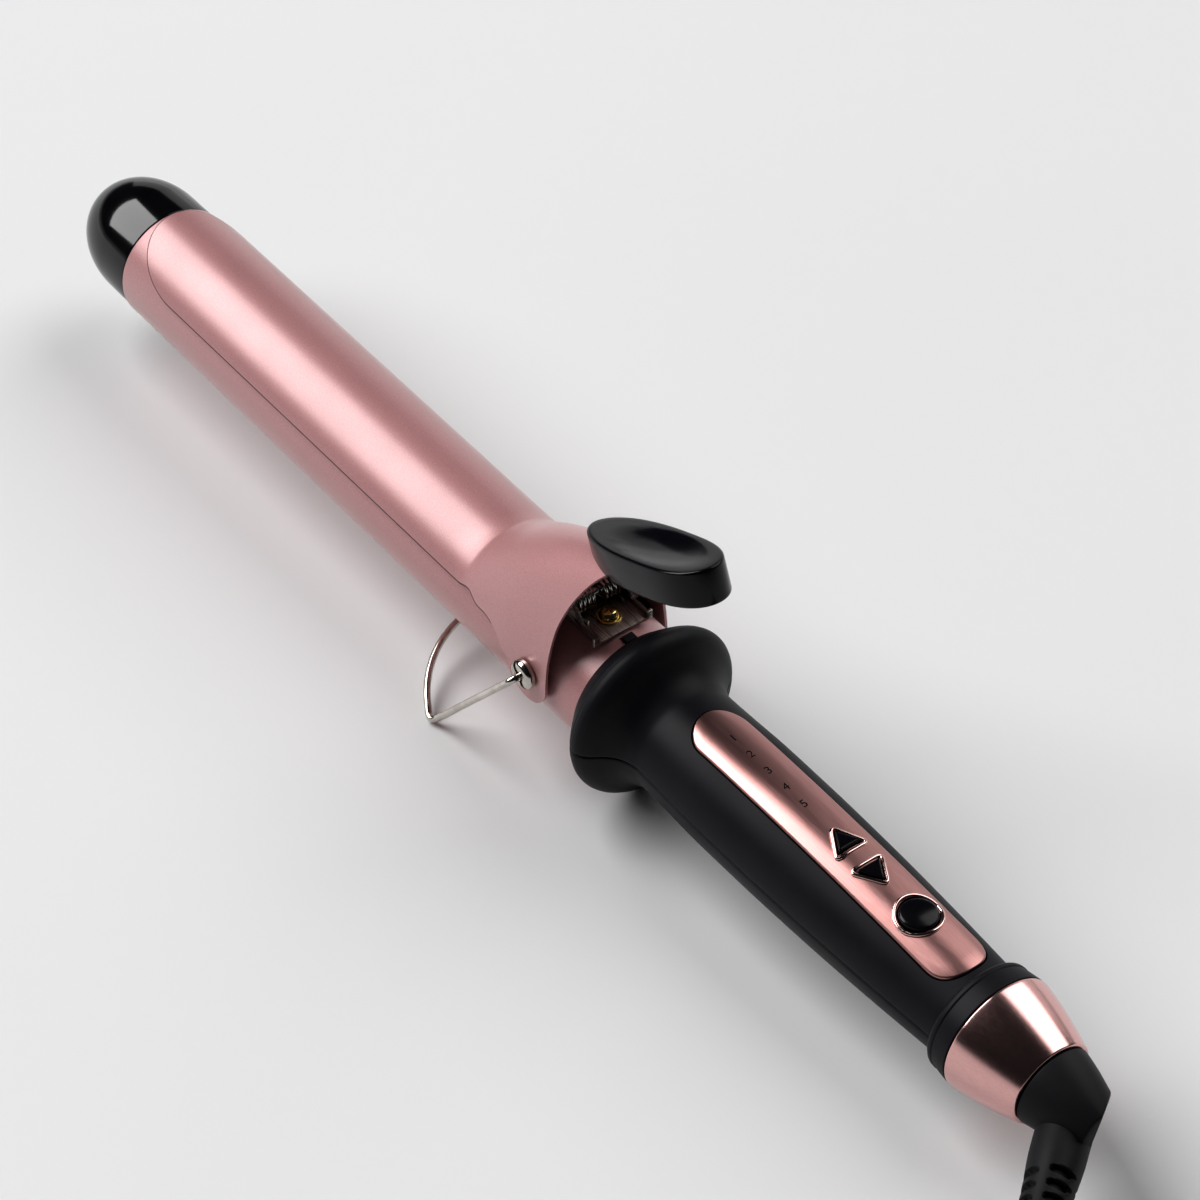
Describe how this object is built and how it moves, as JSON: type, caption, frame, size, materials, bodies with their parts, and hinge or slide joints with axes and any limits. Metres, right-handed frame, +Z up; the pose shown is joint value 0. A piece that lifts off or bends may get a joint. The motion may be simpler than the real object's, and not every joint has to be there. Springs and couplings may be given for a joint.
{
  "type": "curling iron",
  "caption": "Round-barrel hair curling iron with a spring clamp and thumb lever, fold-out wire stand, control panel and swivelling cord with its plug.",
  "frame": {"origin": "on the surface the iron rests on, under the middle of its bounding box without the cord", "axes": "+X along the barrel from its cool tip to the cord end, tipped 1.2 degrees down; +Y to the right seen from the handle; +Z up"},
  "size_m": [0.5829, 0.0853, 0.083],
  "materials": {
    "rose_paint": "satin metallic rose enamel",
    "rose_metal": "brushed rose gold",
    "black_gloss": "polished black",
    "black_grip": "soft-touch black",
    "black_rubber": "matt black",
    "nickel": "nickel plated",
    "steel_plate": "pressed steel",
    "yellow_zinc": "yellow zinc plated",
    "aluminium": "extruded",
    "brass": "plain",
    "ceramic": "matt",
    "board_green": "solder mask",
    "led_lens": "clear tinted"
  },
  "bodies": {
    "body": {"barrel_bush": "black_rubber", "barrel_tube": "rose_paint", "bracket_screw": "yellow_zinc", "circuit_board": "board_green", "clamp_spring": "nickel", "control_panel": "rose_metal", "handle_lower": "black_grip", "handle_screw": "nickel", "handle_upper": "black_grip", "heat_spreader_lower": "aluminium", "heat_spreader_upper": "aluminium", "led_1": "led_lens", "led_2": "led_lens", "led_3": "led_lens", "led_4": "led_lens", "led_5": "led_lens", "pivot_nut_left": "steel_plate", "pivot_nut_right": "steel_plate", "pivot_screw_left": "nickel", "pivot_screw_right": "nickel", "pivot_washer_left": "black_rubber", "pivot_washer_right": "black_rubber", "ptc_heater": "ceramic", "rear_cap": "rose_metal", "rear_ring": "black_grip", "spring_bracket": "steel_plate", "spring_pin": "nickel", "tact_switch_1": "black_rubber", "tact_switch_2": "black_rubber", "tact_switch_3": "black_rubber", "thermal_fuse": "aluminium", "thermistor": "ceramic", "tip_cap": "black_gloss", "tip_insulator": "ceramic"},
    "clamp": {"clamp_blade": "rose_paint", "thumb_lever": "black_gloss", "lever_screw": "nickel"},
    "stand": {"stand_wire": "nickel"},
    "up_button": {"up_button": "black_gloss"},
    "down_button": {"down_button": "black_gloss"},
    "power_button": {"power_button": "black_gloss"},
    "swivel": {"cord_swivel": "black_grip", "swivel_retainer": "steel_plate", "slip_contact_1": "brass", "slip_contact_2": "brass", "strain_relief": "black_rubber", "power_cord": "black_rubber", "cord_tail": "black_rubber", "cord_hank": "black_rubber", "hank_tie": "black_grip", "plug_body": "black_rubber", "plug_pin_1": "brass", "plug_pin_2": "brass"}
  },
  "joints": [
    {"name": "clamp_hinge", "type": "hinge", "parent": "body", "child": "clamp", "pos_m": [0.01558, 0, 0.0269], "axis": [0, 1, 0], "range_deg": [0, 25], "stiffness_Nm_per_rad": 0.12, "springref_deg": -28.65, "deforming": ["clamp_spring"]},
    {"name": "stand_hinge", "type": "hinge", "parent": "body", "child": "stand", "pos_m": [0.01558, 0, 0.0269], "axis": [0, 1, 0], "range_deg": [-127, 0]},
    {"name": "up_button_press", "type": "slide", "parent": "body", "child": "up_button", "axis": [-0.0209, 0, -0.9998], "range_m": [0, 0.0006], "stiffness_N_per_m": 800, "springref_m": -0.0002},
    {"name": "down_button_press", "type": "slide", "parent": "body", "child": "down_button", "axis": [-0.0209, 0, -0.9998], "range_m": [0, 0.0006], "stiffness_N_per_m": 800, "springref_m": -0.0002},
    {"name": "power_button_press", "type": "slide", "parent": "body", "child": "power_button", "axis": [-0.0209, 0, -0.9998], "range_m": [0, 0.0006], "stiffness_N_per_m": 800, "springref_m": -0.0002},
    {"name": "cord_swivel_turn", "type": "hinge", "parent": "body", "child": "swivel", "pos_m": [0.17537, 0, 0.01995], "axis": [0.9998, 0, -0.0209], "continuous": true}
  ]
}
